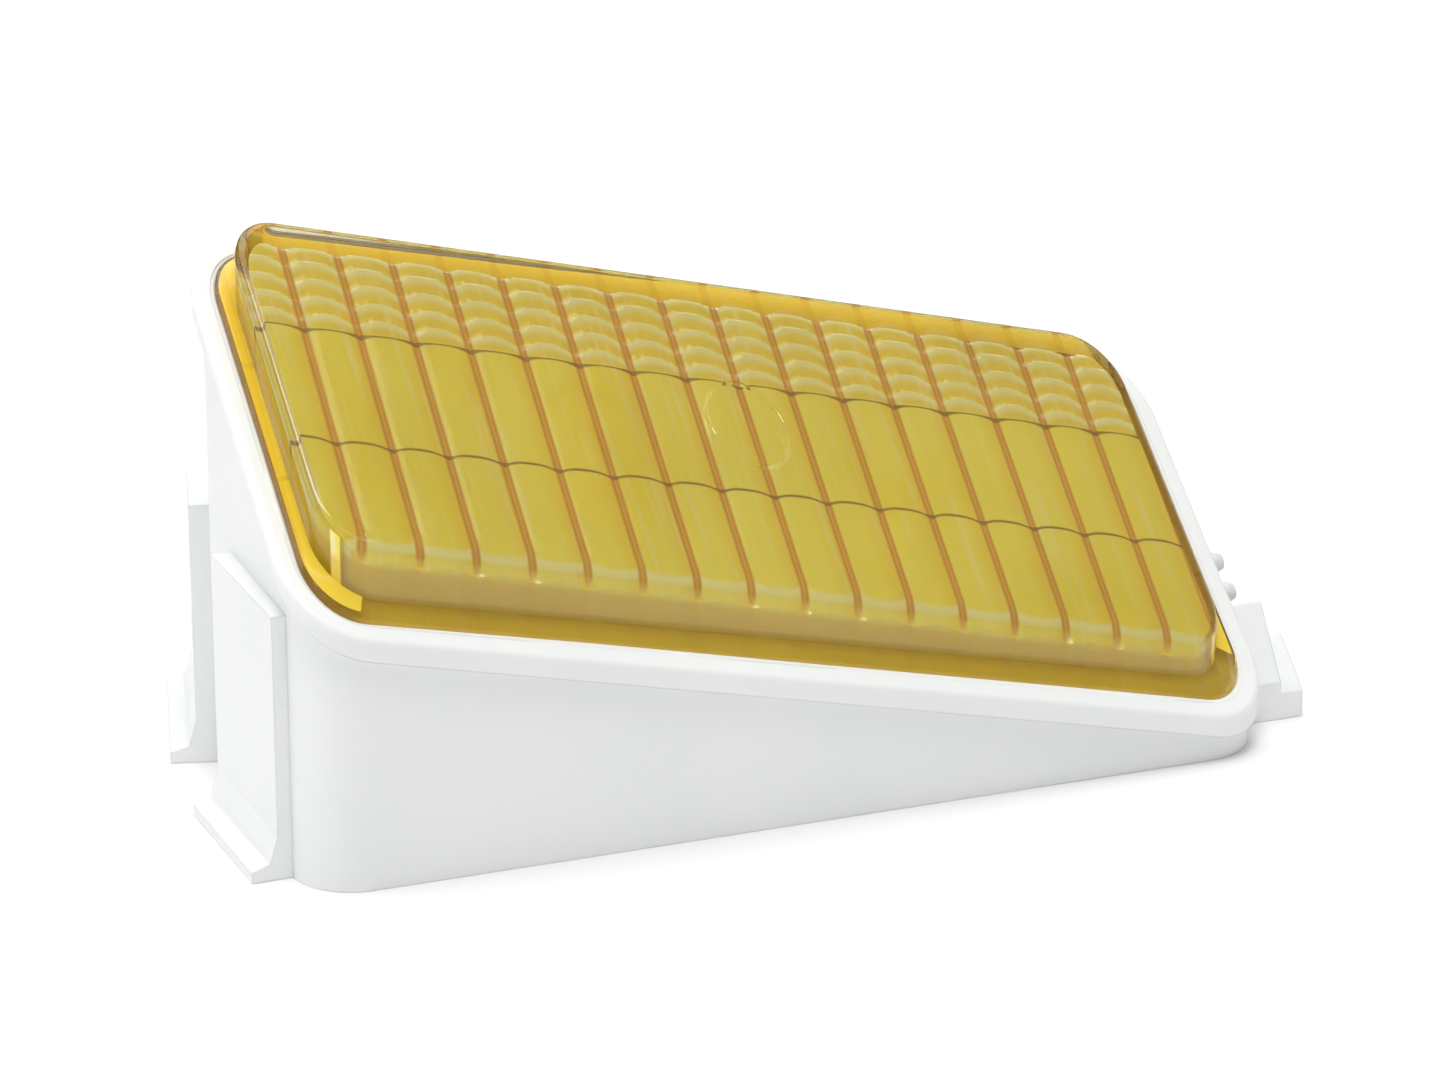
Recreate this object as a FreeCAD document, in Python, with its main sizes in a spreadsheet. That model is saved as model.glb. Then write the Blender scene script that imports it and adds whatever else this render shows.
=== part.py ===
import FreeCAD, Part
import math
import os
import re
import Sketcher

# Vehicle front fog lamp, lying on its flat back: millimetres, +Z up, out of the back and towards the beam.
# The origin is on the plane of the back, straight below the middle of the lens opening.
# +X runs along the lamp's width, and +Y towards the upper edge of the lens.

SIZES = {
    # lens opening: a plane that rises towards +Y and falls towards +X
    "face_height": 57.4, "face_tilt": 37.4, "face_turn": 18.0, "reach": 420,
    # moulded housing
    "rim_width": 200, "rim_depth": 75, "rim_corner": 14, "lip_height": 4.2, "lip_round": 1.5,
    "lip_overhang": 2,
    "wall": 2.5, "floor": 2.5, "body_corner": 12, "seat_drop": 3, "ledge_thick": 4, "ledge_width": 3.8,
    "rim_wall_x": 3.8, "rim_wall_y": 2.8, "tall": 150,
    # chamber behind the upper edge
    "chamber_half": 93.3, "chamber_end_half": 83.5, "chamber_end": 74.5, "chamber_height": 46,
    "chamber_corner": 6,
    # mounting towers and feet beside the housing
    "tower_height": 52.5, "tower_out": 2.8, "tower_length": 35, "foot_out": 8, "foot_thick": 2.2,
    "foot_root": 9, "low_tower_height": 21.5, "low_tower_out": 9.5, "low_foot_out": 14.4,
    "screw_post": 6, "screw_hole": 2.1, "screw_post_height": 12, "insert": 3.2, "mount_x": 168, "mount_y": 56,
    "mount_low": -6,
    # pressed glass lens
    "glass_thick": 3.5, "flange_proud": 1.0, "dome_height": 10.5, "dome_inset": 3.2,
    "dome_corner": 10, "joint_gap": 0.8, "bed_gap": 0.4, "flute_count": 17, "flute_pitch": 10.86,
    "flute_rise": 1.1, "flute_lean": 2,
    # reflector
    "focal": 20, "dish_radius": 40, "dish_x": -32, "dish_y": 6, "dish_z": 30, "metal": 1.5, "apron_drop": 12,
    "apron_gap": 4.5, "apron_right": 77, "seat_half": 17, "seat_thick": 2.5, "seat_low": 24,
    "bulb_hole": 7, "ear_left": -88, "ear_right": 73, "ear_half": 6, "ear_thick": 2.5,
    # pivots and aim
    "pivot_y": 2, "pivot_z": 20, "pin": 2.5, "bush_wall": 1.2, "running": 0.05, "aim_y": 52, "arm_half": 6,
    "arm_thick": 4, "screw": 2.5, "screw_head": 4.5, "screw_length": 33, "nut_flange": 4.5, "nut_waist": 3.6,
    # bulb and its shield
    "bulb_flange": 11, "bulb_rear": 6.5, "bulb_glass_radius": 5.5, "bulb_tip": 31, "envelope": 0.8,
    "shield": 8.5, "wire": 0.7, "clip_half": 8.5, "clip_reach": 27.5,
    # access cap in the back
    "port": 25, "cap_overlap": 4, "cap_recess": 3, "ring_height": 4.6, "cap_gap": 0.4,
    # trim
    "breather": 2.2, "grommet": 7,
}

doc = FreeCAD.newDocument("FogLamp")
sheet = doc.addObject("Spreadsheet::Sheet", "Dims")
for row, (alias, value) in enumerate(SIZES.items(), start=1):
    sheet.set("A%d" % row, alias)
    sheet.set("B%d" % row, str(value))
    sheet.setAlias("B%d" % row, alias)
doc.recompute()


def size(alias):
    """A driving dimension, read from the sheet."""
    return float(sheet.get(alias))


def formula(text):
    """An expression in the sheet's names, written without the sheet's own name."""
    return re.sub(r"[a-z_]+", lambda m: "Dims." + m.group() if m.group() in SIZES else m.group(), str(text))


def bind(thing, **properties):
    """Binds properties of an object to expressions; 'at' binds its position."""
    for name, value in properties.items():
        if name == "at":
            for axis, part in zip("xyz", value):
                thing.setExpression("Placement.Base." + axis, formula(part))
        else:
            thing.setExpression(name, formula(value))
    return thing


def line_sketch(body, name, points, plane):
    """A closed outline in a body: points are pairs of expressions, and '0' holds a point on an axis."""
    sketch = body.newObject("Sketcher::SketchObject", name)
    base = [f for f in body.Origin.OriginFeatures if f.Role == plane][0]
    sketch.AttachmentSupport = [(base, "")]
    sketch.MapMode = "FlatFace"
    count = len(points)
    start = [FreeCAD.Vector(3 * math.cos(i), 3 * math.sin(i), 0) for i in range(count)]
    for i in range(count):
        sketch.addGeometry(Part.LineSegment(start[i], start[(i + 1) % count]))
    for i in range(count):
        sketch.addConstraint(Sketcher.Constraint("Coincident", i, 2, (i + 1) % count, 1))
    for i, (across, up) in enumerate(points):
        for kind, axis, text in (("DistanceX", -2, across), ("DistanceY", -1, up)):
            if str(text) == "0":
                sketch.addConstraint(Sketcher.Constraint("PointOnObject", i, 1, axis))
                continue
            label = "%s%d" % (kind[-1].lower(), i)
            sketch.addConstraint(Sketcher.Constraint(kind, -1, 1, i, 1, 1.0))
            sketch.renameConstraint(sketch.ConstraintCount - 1, label)
            sketch.setExpression("Constraints." + label, formula(text))
    return sketch


def prism(name, points, height, at=("0", "0", "0"), plane="XY_Plane", corner=None):
    """A padded outline with rounded upright edges. On XZ_Plane it is padded both ways along Y."""
    body = doc.addObject("PartDesign::Body", name)
    sketch = line_sketch(body, name + "_outline", points, plane)
    pad = body.newObject("PartDesign::Pad", name + "_pad")
    pad.Profile = sketch
    pad.Midplane = plane != "XY_Plane"
    bind(pad, Length=height)
    body.Tip = pad
    if corner:
        doc.recompute()
        upright = ["Edge%d" % (i + 1) for i, edge in enumerate(pad.Shape.Edges)
                   if abs(edge.tangentAt(edge.FirstParameter).z) > 0.99]
        fillet = body.newObject("PartDesign::Fillet", name + "_corners")
        fillet.Base = (pad, upright)
        bind(fillet, Radius=corner)
        body.Tip = fillet
    return bind(body, at=at)


def block(name, left, right, near, far, height, low="0", corner=None):
    """A rectangular prism between two X and two Y places."""
    points = [(left, near), (right, near), (right, far), (left, far)]
    return prism(name, points, height, ("0", "0", low), corner=corner)


def turned(name, points, at=("0", "0", "0"), lay=None):
    """A revolved outline of (radius, height) pairs, laid over by an optional rotation."""
    body = doc.addObject("PartDesign::Body", name)
    sketch = line_sketch(body, name + "_outline", points, "XZ_Plane")
    spin = body.newObject("PartDesign::Revolution", name + "_turn")
    spin.Profile = sketch
    spin.ReferenceAxis = (sketch, ["V_Axis"])
    spin.Angle = 360
    body.Tip = spin
    bind(body, at=at)
    if lay:
        body.Placement.Rotation = lay
    return body


def rod(name, radius, length, at=("0", "0", "0"), lay=None):
    """A plain cylinder."""
    thing = bind(doc.addObject("Part::Cylinder", name), Radius=radius, Height=length, at=at)
    if lay:
        thing.Placement.Rotation = lay
    return thing


def join(name, *things):
    result = doc.addObject("Part::MultiFuse", name)
    result.Shapes = list(things)
    return result


def shared(name, *things):
    result = doc.addObject("Part::MultiCommon", name)
    result.Shapes = list(things)
    return result


def cut(name, base, *tools):
    result = doc.addObject("Part::Cut", name)
    result.Base = base
    result.Tool = tools[0] if len(tools) == 1 else join(name + "_tools", *tools)
    return result


def group(name, things):
    """Separate solids of one kind that share a node."""
    result = doc.addObject("Part::Compound", name)
    result.Links = list(things)
    return result


X_AXIS, Y_AXIS, Z_AXIS = FreeCAD.Vector(1, 0, 0), FreeCAD.Vector(0, 1, 0), FreeCAD.Vector(0, 0, 1)
ALONG_X = FreeCAD.Rotation(Y_AXIS, 90)
ALONG_Y = FreeCAD.Rotation(X_AXIS, -90)
TURN = math.radians(size("face_turn"))
FACE = FreeCAD.Rotation(FreeCAD.Vector(math.cos(TURN), math.sin(TURN), 0), size("face_tilt"))
SLOPE = math.tan(math.radians(size("face_tilt")))
SLOPE_X, SLOPE_Y = -SLOPE * math.sin(TURN), SLOPE * math.cos(TURN)

END_TOP = size("face_height") + SLOPE_X * size("rim_width") / 2 - size("lip_height") - size("breather") - 0.8
BREATHERS = [(y, END_TOP + SLOPE_Y * y) for y in (-6, -0.2)]
CAP_TURN = 35
SHIELD_RIVETS = (("dish_x + 15.5", "dish_y - 3"), ("dish_x + 15.5", "dish_y + 3"))
FOOT_SCREWS = [(x, y) for x in ("-mount_x / 2", "mount_x / 2") for y in ("mount_low", "mount_low + mount_y")]


def above(name, offset):
    """Everything above the lens plane, raised by an offset measured along Z."""
    at = ("0", "0", "face_height + %s" % offset)
    return rod(name, "reach", "reach", at, FACE)


def rim_block(name, inset_x, inset_y, corner, low="0"):
    """A tall rounded block on the plan of the rim, drawn in by an inset."""
    half_x, half_y = "rim_width / 2 - (%s)" % inset_x, "rim_depth / 2 - (%s)" % inset_y
    return block(name, "-(%s)" % half_x, half_x, "-(%s)" % half_y, half_y, "tall", low, corner)


def band(name, solid, low, high):
    """The part of a solid between two offsets of the lens plane."""
    kept = shared(name + "_kept", solid, above(name + "_from", low))
    return cut(name, kept, above(name + "_to", high))


def rounded_top(name, solid, radius):
    """The same solid with the edge of its face in the lens plane rounded."""
    doc.recompute()
    edges = []
    for i, edge in enumerate(solid.Shape.Edges, start=1):
        heights = [v.Z - size("face_height") - SLOPE_X * v.X - SLOPE_Y * v.Y for v in edge.Vertexes]
        if max(map(abs, heights)) < 0.01:
            edges.append((i, radius, radius))
    result = doc.addObject("Part::Fillet", name)
    result.Base = solid
    result.Edges = edges
    return result


def lug(name, height, out, foot_out, length, at, turn):
    """A mounting tower with its flared foot: it stands out from the wall along -X, and runs along +Y."""
    tower = prism(name + "_tower", [("3", "0"), ("-(%s)" % out, "0"), ("-(%s)" % out, length), ("3", length)],
                  height)
    foot = prism(name + "_foot", [("2", "0"), ("-(%s)" % foot_out, "0"), ("-(%s)" % foot_out, "foot_thick"),
                                  ("-(%s) - 1.6" % out, "foot_thick + 1.2"), ("-(%s) + 0.1" % out, "foot_root"),
                                  ("2", "foot_root")],
                 length, ("0", "(%s) / 2" % length, "0"), plane="XZ_Plane")
    whole = join(name, tower, foot)
    whole.Placement = FreeCAD.Placement(at, FreeCAD.Rotation(Z_AXIS, turn))
    return whole


def make_housing():
    """White moulded shell: wedge body, lip round the lens, chamber, towers, feet, bosses and ports."""
    wall_x = "lip_overhang"
    body = cut("body_wedge", rim_block("body_prism", wall_x, wall_x, "body_corner"),
               above("body_top", "-lip_height + 0.01"))
    lip = rounded_top("lip_rounded", band("lip", rim_block("lip_prism", "0", "0", "rim_corner"), "-lip_height", "0"),
                      size("lip_round"))
    chamber = prism("chamber_outer", [("-chamber_half", "rim_depth / 2 - 8"), ("chamber_half", "rim_depth / 2 - 8"),
                                      ("chamber_end_half", "chamber_end"), ("-chamber_end_half", "chamber_end")],
                    "chamber_height", corner="chamber_corner")
    side = size("rim_width") / 2 - size("lip_overhang")
    back = size("rim_depth") / 2 - 4
    taper = math.degrees(math.atan2(size("chamber_half") - size("chamber_end_half"),
                                    size("chamber_end") - back - 4))
    front_left = lug("front_left_lug", "tower_height", "tower_out", "foot_out", "tower_length",
                     FreeCAD.Vector(-side, -24.3, 0), 2)
    rear_left = lug("rear_left_lug", "tower_height + 1", "tower_out + 2.8", "foot_out + 2.8", "tower_length + 4",
                    FreeCAD.Vector(-size("chamber_half") - 0.6, back, 0), -taper)
    rear_right = cut_copy_mirrored(rear_left, "rear_right_lug")
    low_tower = prism("front_right_tower", [("0", "0"), ("-11", "0"), ("-11", "8"), ("-1", "low_tower_height"),
                                            ("0", "low_tower_height")], "10.5",
                      plane="YZ_Plane")
    low_foot = prism("front_right_foot", [("0", "0"), ("-11", "0"), ("-11", "5.5"), ("-9.5", "7"), ("-1", "13.7"),
                                          ("0", "13.7")], "low_foot_out + 3", plane="YZ_Plane")
    bind(low_tower, at=("rim_width / 2 - lip_overhang + low_tower_out - 5.25", "-10.5", "0"))
    bind(low_foot, at=("rim_width / 2 - lip_overhang + (low_foot_out - 3) / 2", "-10.5", "0"))
    posts = [rod("screw_post_%d" % i, "screw_post", "screw_post_height", (x, y, "0"))
             for i, (x, y) in enumerate(FOOT_SCREWS)]
    inner = [rim_block("cavity_prism", "lip_overhang + wall", "lip_overhang + wall", "body_corner - wall", "floor"),
             prism("chamber_inner", [("-chamber_half + wall", "rim_depth / 2 - 8 - wall"),
                                     ("chamber_half - wall", "rim_depth / 2 - 8 - wall"),
                                     ("chamber_end_half - wall", "chamber_end - wall"),
                                     ("-chamber_end_half + wall", "chamber_end - wall")],
                   "chamber_height - floor - wall", ("0", "0", "floor"), corner="chamber_corner - wall")]
    cavity = cut("cavity", inner[0], above("cavity_top", "-seat_drop - ledge_thick"))
    shell = cut("shell", join("shell_solid", body, lip, chamber, front_left, rear_left, rear_right, low_tower,
                              low_foot), cavity, inner[1])
    ring = rod("port_ring", "port + cap_overlap + 3", "ring_height", ("dish_x", "dish_y", "0"))
    aim_boss = rod("aim_boss", "8", "8", ("dish_x", "aim_y", "0"))
    pivot_post = block("pivot_post", "ear_right + ear_thick + 3", "ear_right + ear_thick + 8", "pivot_y - 6",
                       "pivot_y + 6", "pivot_z + 5")
    pivot_boss = rod("pivot_boss", "6", "6", ("-rim_width / 2 + lip_overhang + 1", "pivot_y", "pivot_z"), ALONG_X)
    filled = join("shell_with_bosses", shell, ring, aim_boss, pivot_post, pivot_boss, *posts)
    nipples = [rod("nipple_%d" % i, "1.4", "5", ("rim_width / 2 - lip_overhang - wall", y, z), ALONG_X)
               for i, (y, z) in enumerate(BREATHERS)]
    opening = shared("opening", rim_block("opening_prism", "rim_wall_x + ledge_width", "rim_wall_y + ledge_width",
                                          "rim_corner - 4"),
                     above("opening_from", "-seat_drop - ledge_thick - 1"))
    groove = shared("groove", rim_block("groove_prism", "rim_wall_x", "rim_wall_y", "rim_corner - 3"),
                    above("groove_from", "-seat_drop"))
    port = [rod("port_hole", "port", "30", ("dish_x", "dish_y", "-10")),
            rod("port_recess", "port + cap_overlap + cap_gap", "cap_recess", ("dish_x", "dish_y", "0"))]
    notches = []
    for i in range(3):
        notch = block("cap_notch_%d" % i, "port - 2", "port + 3.4", "-4.6", "4.6", "20")
        bind(notch, at=("dish_x", "dish_y", "cap_recess - 1"))
        notch.Placement.Rotation = FreeCAD.Rotation(Z_AXIS, 120 * i + CAP_TURN)
        notches.append(notch)
    aim_hole = [rod("aim_bore", "screw + running", "30", ("dish_x", "aim_y", "-2")),
                rod("aim_recess", "screw_head + 0.5", "5", ("dish_x", "aim_y", "0"))]
    holes = [rod("mount_hole_%d" % i, "insert", "screw_post_height - 2", (x, y, "0"))
             for i, (x, y) in enumerate(FOOT_SCREWS)]
    pins = [rod("left_pin_hole", "pin", "8", ("-rim_width / 2 + lip_overhang + wall", "pivot_y", "pivot_z"), ALONG_X),
            rod("right_pin_hole", "pin", "12", ("ear_right + ear_thick", "pivot_y", "pivot_z"), ALONG_X)]
    vents = [rod("vent_%d" % i, "0.7", "12", ("rim_width / 2 - lip_overhang - wall - 3", y, z), ALONG_X)
             for i, (y, z) in enumerate(BREATHERS)]
    inlet = rod("inlet_hole", "grommet - 1.5", "8", ("45", "chamber_end - wall - 2", "22"), ALONG_Y)
    return cut("housing", join("housing_whole", filled, *nipples), opening, groove, *port, *notches, *aim_hole,
               *holes, *pins, *vents, inlet)


def cut_copy_mirrored(source, name):
    """The same piece on the other side of the lamp."""
    mirror = doc.addObject("Part::Mirroring", name)
    mirror.Source = source
    mirror.Normal = (1, 0, 0)
    return mirror


def make_lens():
    """Pressed glass tray with a flange, a raised face and flutes on its inside."""
    edge_x, edge_y = "rim_wall_x + joint_gap", "rim_wall_y + joint_gap"
    flange = band("lens_flange", rim_block("lens_flange_prism", edge_x, edge_y, "rim_corner - 4"),
                  "-seat_drop + bed_gap", "flange_proud")
    dome = band("lens_dome", rim_block("lens_dome_prism", edge_x + " + dome_inset", edge_y + " + dome_inset",
                                       "dome_corner"), "0", "dome_height")
    inside = edge_x + " + dome_inset + glass_thick", edge_y + " + dome_inset + glass_thick"
    well = cut("lens_well", rim_block("lens_well_prism", *inside, "dome_corner - glass_thick"),
               above("lens_well_top", "dome_height - glass_thick"))
    pitch, rise = size("flute_pitch"), size("flute_rise")
    radius = (pitch * pitch / 4 + rise * rise) / (2 * rise)
    drop = size("dome_height") - size("glass_thick") + rise - radius / math.cos(math.radians(size("face_tilt")))
    lean = math.radians(size("flute_lean"))
    run = FreeCAD.Vector(math.sin(lean), math.cos(lean), SLOPE_X * math.sin(lean) + SLOPE_Y * math.cos(lean))
    channels = []
    for i in range(int(size("flute_count"))):
        x = (i - (size("flute_count") - 1) / 2) * pitch
        channel = bind(doc.addObject("Part::Cylinder", "flute_%d" % i), Height="reach / 2")
        channel.Radius = radius
        middle = FreeCAD.Vector(x, 0, size("face_height") + SLOPE_X * x + drop)
        turn = FreeCAD.Rotation(Z_AXIS, run)
        channel.Placement = FreeCAD.Placement(middle - run.normalize() * size("reach") / 4, turn)
        channels.append(channel)
    flutes = shared("flutes", rim_block("flute_prism", *inside, "dome_corner - glass_thick"),
                    join("flute_channels", *channels))
    return cut("lens_glass", join("lens_solid", flange, dome), well, flutes)


def make_lens_seal(lens):
    """Bead of sealant that beds the lens in its groove."""
    ring = cut("seal_ring", rim_block("seal_prism", "rim_wall_x", "rim_wall_y", "rim_corner - 3"),
               rim_block("seal_hole", "rim_wall_x + ledge_width", "rim_wall_y + ledge_width", "rim_corner - 4"))
    return cut("lens_seal", band("seal_band", ring, "-seat_drop", "-0.4"), lens)


def round_bowl(name, radius, bottom):
    """Everything inside a round-bottomed bowl with an upright wall, up to well above the lens."""
    top = size("tall") + 60
    foot, bend = FreeCAD.Vector(0, 0, bottom), FreeCAD.Vector(radius, 0, bottom + radius)
    middle = FreeCAD.Vector(radius * math.sqrt(0.5), 0, bottom + radius - radius * math.sqrt(0.5))
    rim, axis_top = FreeCAD.Vector(radius, 0, top), FreeCAD.Vector(0, 0, top)
    outline = Part.Wire([Part.Arc(foot, middle, bend).toShape(), Part.makeLine(bend, rim),
                         Part.makeLine(rim, axis_top), Part.makeLine(axis_top, foot)])
    thing = doc.addObject("Part::Feature", name)
    thing.Shape = Part.Face(outline).revolve(FreeCAD.Vector(0, 0, 0), Z_AXIS, 360)
    thing.Placement.Base = FreeCAD.Vector(size("dish_x"), size("dish_y"), 0)
    return thing


def swept(name, points, radius, bend, closed=False):
    """Round wire that follows straight runs, with bends of one radius between them."""
    count = len(points)
    corners = range(count) if closed else range(1, count - 1)
    bends = {}
    for i in corners:
        here = points[i]
        back = (points[i - 1] - here).normalize()
        on = (points[(i + 1) % count] - here).normalize()
        half = back.getAngle(on) / 2
        reach = bend / math.tan(half)
        middle = here + (back + on).normalize() * (bend / math.sin(half) - bend)
        bends[i] = Part.Arc(here + back * reach, middle, here + on * reach)
    edges = []
    for i in range(count if closed else count - 1):
        j = (i + 1) % count
        start = bends[i].EndPoint if i in bends else points[i]
        end = bends[j].StartPoint if j in bends else points[j]
        edges.append(Part.makeLine(start, end))
        if j in bends:
            edges.append(bends[j].toShape())
    path = Part.Wire(edges)
    first = edges[0].Vertexes[0].Point
    ring = Part.Wire([Part.makeCircle(radius, first, edges[0].tangentAt(edges[0].FirstParameter))])
    thing = doc.addObject("Part::Feature", name)
    thing.Shape = path.makePipeShell([ring], True, True)
    return thing


def make_reflector():
    """Metal dish with an apron parallel to the lens, a bulb seat, two pivot ears and an aiming arm."""
    metal, radius, bottom = size("metal"), size("dish_radius"), size("dish_z")
    apron_top = "-apron_drop"
    left, half = ["%s / 2 - lip_overhang - wall - apron_gap" % whole for whole in ("rim_width", "rim_depth")]
    box = block("apron_prism", "-(%s)" % left, "apron_right", "-(%s)" % half, half, "tall", corner="8")
    box_inside = block("apron_inside", "-(%s) + metal" % left, "apron_right - metal", "-(%s) + metal" % half,
                       "%s - metal" % half, "tall", corner="8 - metal")
    bowl = shared("bowl_solid", cut("bowl_block", box, above("bowl_top", apron_top)),
                  round_bowl("bowl_outside", radius + metal, bottom - metal))
    apron = band("apron", box, "-apron_drop - metal", apron_top)
    hollow = shared("bowl_hollow", box_inside, round_bowl("bowl_inside", radius, bottom))
    seat = block("seat", "dish_x - seat_half", "dish_x + seat_half", "dish_y - seat_half", "dish_y + seat_half",
                 "seat_thick", "seat_low", "4")
    collar = rod("collar", "bulb_hole + 2", "dish_z - seat_low", ("dish_x", "dish_y", "seat_low"))
    ears = []
    for side, place in (("left", "ear_left"), ("right", "ear_right")):
        ears.append(cut(side + "_ear", block(side + "_ear_plate", place, place + " + ear_thick", "pivot_y - ear_half",
                                             "pivot_y + ear_half", "tall", "pivot_z - ear_half"),
                        above(side + "_ear_top", apron_top)))
    arm_near = "dish_y + seat_half - 1.5"
    arm = block("arm_bar", "dish_x - arm_half", "dish_x + arm_half", arm_near, "aim_y + arm_half", "arm_thick",
                "pivot_z - arm_thick / 2")
    web = block("arm_web", "dish_x - arm_half", "dish_x + arm_half", arm_near, "dish_y + seat_half + 4",
                "seat_low + seat_thick - pivot_z + arm_thick / 2", "pivot_z - arm_thick / 2")
    hanger = cut("connector_hanger", block("hanger_rib", "dish_x + 22", "dish_x + 26", "-18", "-11", "tall",
                                           "seat_low - 0.2"), above("hanger_top", apron_top))
    solid = join("reflector_solid", bowl, apron, seat, collar, *ears, arm, web, hanger)
    bores = [rod("bulb_bore", "bulb_hole", "dish_z", ("dish_x", "dish_y", "10")),
             rod("left_ear_bore", "pin + bush_wall", "20", ("ear_left - 5", "pivot_y", "pivot_z"), ALONG_X),
             rod("right_ear_bore", "pin + bush_wall", "20", ("ear_right - 5", "pivot_y", "pivot_z"), ALONG_X)]
    slot = [rod("arm_slot_end", "nut_waist + 0.2", "20", ("dish_x", "aim_y", "10")),
            block("arm_slot", "dish_x - nut_waist - 0.2", "dish_x + nut_waist + 0.2", "aim_y", "aim_y + 20", "20",
                  "10")]
    rivets = [rod("shield_rivet_hole_%d" % i, "0.8", "20", (x, y, "25"))
              for i, (x, y) in enumerate(SHIELD_RIVETS)]
    screws = rod("bracket_hole", "1", "10", ("dish_x", "dish_y - 14.6", "20"))
    return cut("reflector", solid, hollow, *bores, *slot, *rivets, screws)


def make_pivots():
    """Fixed pins that the reflector tilts on, and the bushes in its ears."""
    left = rod("left_pivot_pin", "pin", "rim_width / 2 - lip_overhang - wall + ear_left + ear_thick + 1.5",
               ("-rim_width / 2 + lip_overhang + wall", "pivot_y", "pivot_z"), ALONG_X)
    right = rod("right_pivot_pin", "pin", "ear_thick + 9.5", ("ear_right - 1.5", "pivot_y", "pivot_z"), ALONG_X)
    bushes = []
    for side, place in (("left", "ear_left"), ("right", "ear_right")):
        tube = cut(side + "_bush", rod(side + "_bush_outside", "pin + bush_wall", "ear_thick",
                                       (place, "pivot_y", "pivot_z"), ALONG_X),
                   rod(side + "_bush_bore", "pin + running", "ear_thick + 2", (place + " - 1", "pivot_y",
                                                                              "pivot_z"), ALONG_X))
        bushes.append(tube)
    return left, right, group("pivot_bushes", bushes)


def make_aim():
    """Aiming screw from the back, its seal and clip, and the nut held in the arm's fork."""
    at = ("dish_x", "aim_y", "0")
    head = rod("screw_head_disc", "screw_head", "2.8", ("dish_x", "aim_y", "0.5"))
    shank = rod("screw_shank", "screw", "screw_length", ("dish_x", "aim_y", "0.5"))
    slot = block("screw_slot", "dish_x - 0.6", "dish_x + 0.6", "aim_y - 6", "aim_y + 6", "1.2", "0.3")
    screw = cut("adjust_screw", join("screw_solid", head, shank), slot)
    seal = turned("screw_seal", [("screw + 0.1", "3.3"), ("screw_head + 0.4", "3.3"), ("screw_head + 0.4", "5"),
                                 ("screw + 0.1", "5")], at)
    clip = turned("screw_clip", [("screw", "8.05"), ("screw + 2.2", "8.05"), ("screw + 2.2", "9"),
                                 ("screw", "9")], at)
    waist, flange, half = "nut_waist", "nut_flange", "arm_thick / 2 + 0.3"
    nut = turned("adjust_nut", [("screw + running", "-4.6"), (flange, "-4.6"), (flange, "-(%s)" % half),
                                (waist, "-(%s)" % half), (waist, half), (flange, half), (flange, "4.6"),
                                ("screw + running", "4.6")], ("dish_x", "aim_y", "pivot_z"))
    return screw, seal, clip, nut


def make_bulb():
    """H3-pattern bulb: metal flange and holder, glass envelope, filament on two posts."""
    at = ("dish_x", "dish_y", "seat_low")
    base = turned("bulb_base", [("0", "-8"), ("bulb_rear", "-8"), ("bulb_rear", "-1.5"), ("bulb_flange", "-1.5"),
                                ("bulb_flange", "0"), ("bulb_hole - 0.3", "0"), ("bulb_hole - 0.3", "4"),
                                ("bulb_glass_radius + 0.3", "7"), ("0", "7")], at)
    inner = "bulb_glass_radius - envelope"
    glass = turned("bulb_glass", [(inner, "7"), ("bulb_glass_radius", "7"), ("bulb_glass_radius", "bulb_tip - 4"),
                                  ("bulb_glass_radius - 2", "bulb_tip - 1"), ("1", "bulb_tip"), ("0", "bulb_tip"),
                                  ("0", "bulb_tip - 1.2"), ("bulb_glass_radius - 2.6", "bulb_tip - 2"),
                                  (inner, "bulb_tip - 4.4")], at)
    light = "dish_z + focal"
    posts = [rod("filament_post_%d" % i, "0.35", "focal + dish_z - seat_low - 7", (x, "dish_y", "seat_low + 7"))
             for i, x in enumerate(("dish_x - 2.6", "dish_x + 2.6"))]
    coil = rod("filament_coil", "0.7", "5.9", ("dish_x - 2.95", "dish_y", light), ALONG_X)
    return base, glass, join("bulb_filament", coil, *posts)


def make_shield():
    """Cap that hides the bulb's tip, with its strip and foot on the dish, and two rivets."""
    high = "dish_z + focal + 4"
    cup = turned("shield_cup", [("0", "10.2"), ("shield", "10.2"), ("shield", "0"), ("shield - 0.8", "0"),
                                ("shield - 0.8", "9.4"), ("0", "9.4")], ("dish_x", "dish_y", high))
    tab = block("shield_tab", "dish_x + shield - 0.5", "dish_x + 12.3", "dish_y - 4", "dish_y + 4", "0.8", high)
    strip = block("shield_strip", "dish_x + 11.5", "dish_x + 12.3", "dish_y - 4", "dish_y + 4", "focal - 0.8",
                  "dish_z + 5.6")
    foot = block("shield_foot", "dish_x + 11.5", "dish_x + 19", "dish_y - 5.5", "dish_y + 5.5", "0.8",
                 "dish_z + 5.6")
    holes = [rod("shield_hole_%d" % i, "0.8", "20", (x, y, "25")) for i, (x, y) in enumerate(SHIELD_RIVETS)]
    shield = cut("bulb_shield", join("shield_solid", cup, tab, strip, foot), *holes)
    rivets = []
    for i, (x, y) in enumerate(SHIELD_RIVETS):
        rivets.append(join("shield_rivet_%d" % i, rod("rivet_shank_%d" % i, "0.8", "7", (x, y, "dish_z - 0.6")),
                           rod("rivet_head_%d" % i, "1.6", "0.8", (x, y, "dish_z + 6.4"))))
    return shield, group("shield_rivets", rivets)


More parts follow.
